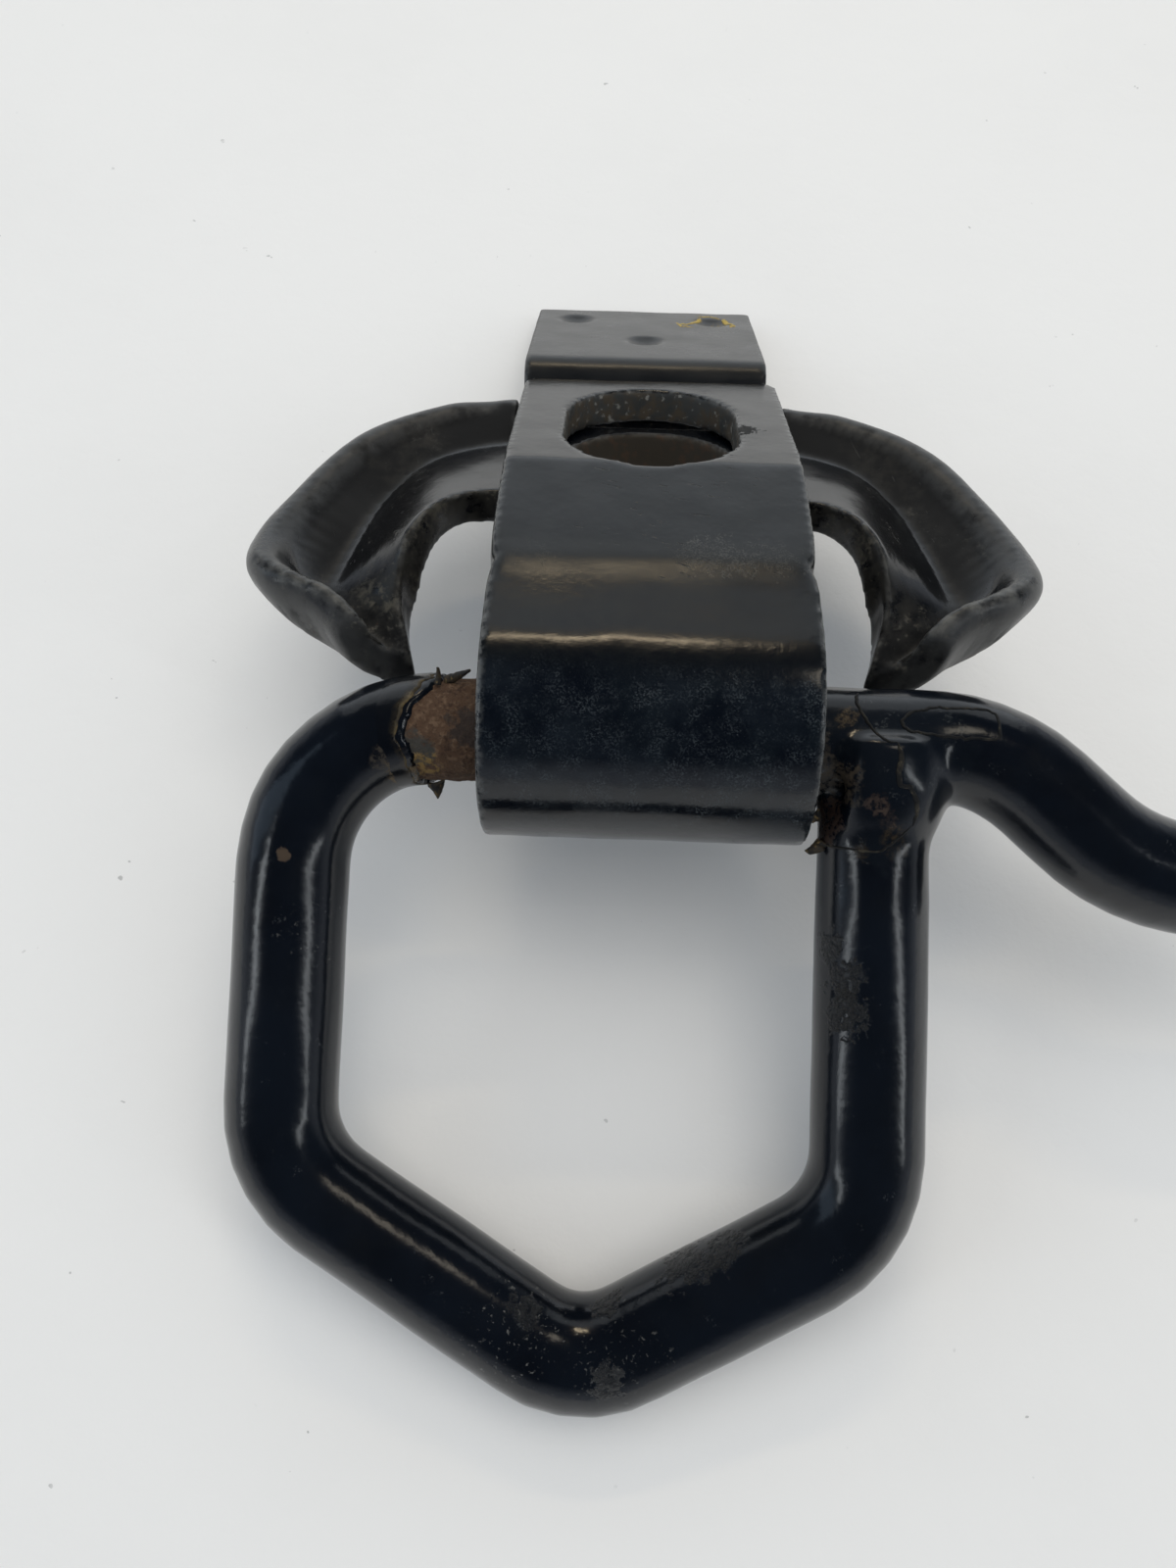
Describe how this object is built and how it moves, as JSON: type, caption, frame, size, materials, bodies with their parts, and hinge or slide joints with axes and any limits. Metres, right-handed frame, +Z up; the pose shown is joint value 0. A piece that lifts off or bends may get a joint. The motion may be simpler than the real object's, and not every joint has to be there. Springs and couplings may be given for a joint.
{
  "type": "swivel hoist ring",
  "caption": "Rolled-eye hanger strap with cupped yoke and tail plate, holding a free-swinging pentagonal round-bar ring with a side arm.",
  "frame": {"origin": "centre of the part's footprint, on the surface it lies on", "axes": "+Z up, +Y from the ring's point to the tail plate, +X towards the ring's arm"},
  "size_m": [0.1416, 0.1824, 0.0501],
  "materials": {
    "black_coat": "satin black dip coat, dusty",
    "yoke_coat": "satin black coat, worn and dirty inside",
    "ring_coat": "glossy black dip coat, torn in places over rusty bar",
    "weld_metal": "coated weld bead"
  },
  "bodies": {
    "hanger": {"hanger_strap": "black_coat", "eye_weld": "weld_metal", "cupped_yoke": "yoke_coat", "yoke_weld": "weld_metal", "tail_plate": "black_coat", "tail_weld": "weld_metal"},
    "ring": {"ring_bar": "ring_coat", "ring_weld": "weld_metal"}
  },
  "joints": [
    {"name": "ring_swing", "type": "hinge", "parent": "hanger", "child": "ring", "pos_m": [-0.02435, -0.01273, 0.0334], "axis": [1, 0, 0], "range_deg": [-135, 48]}
  ]
}
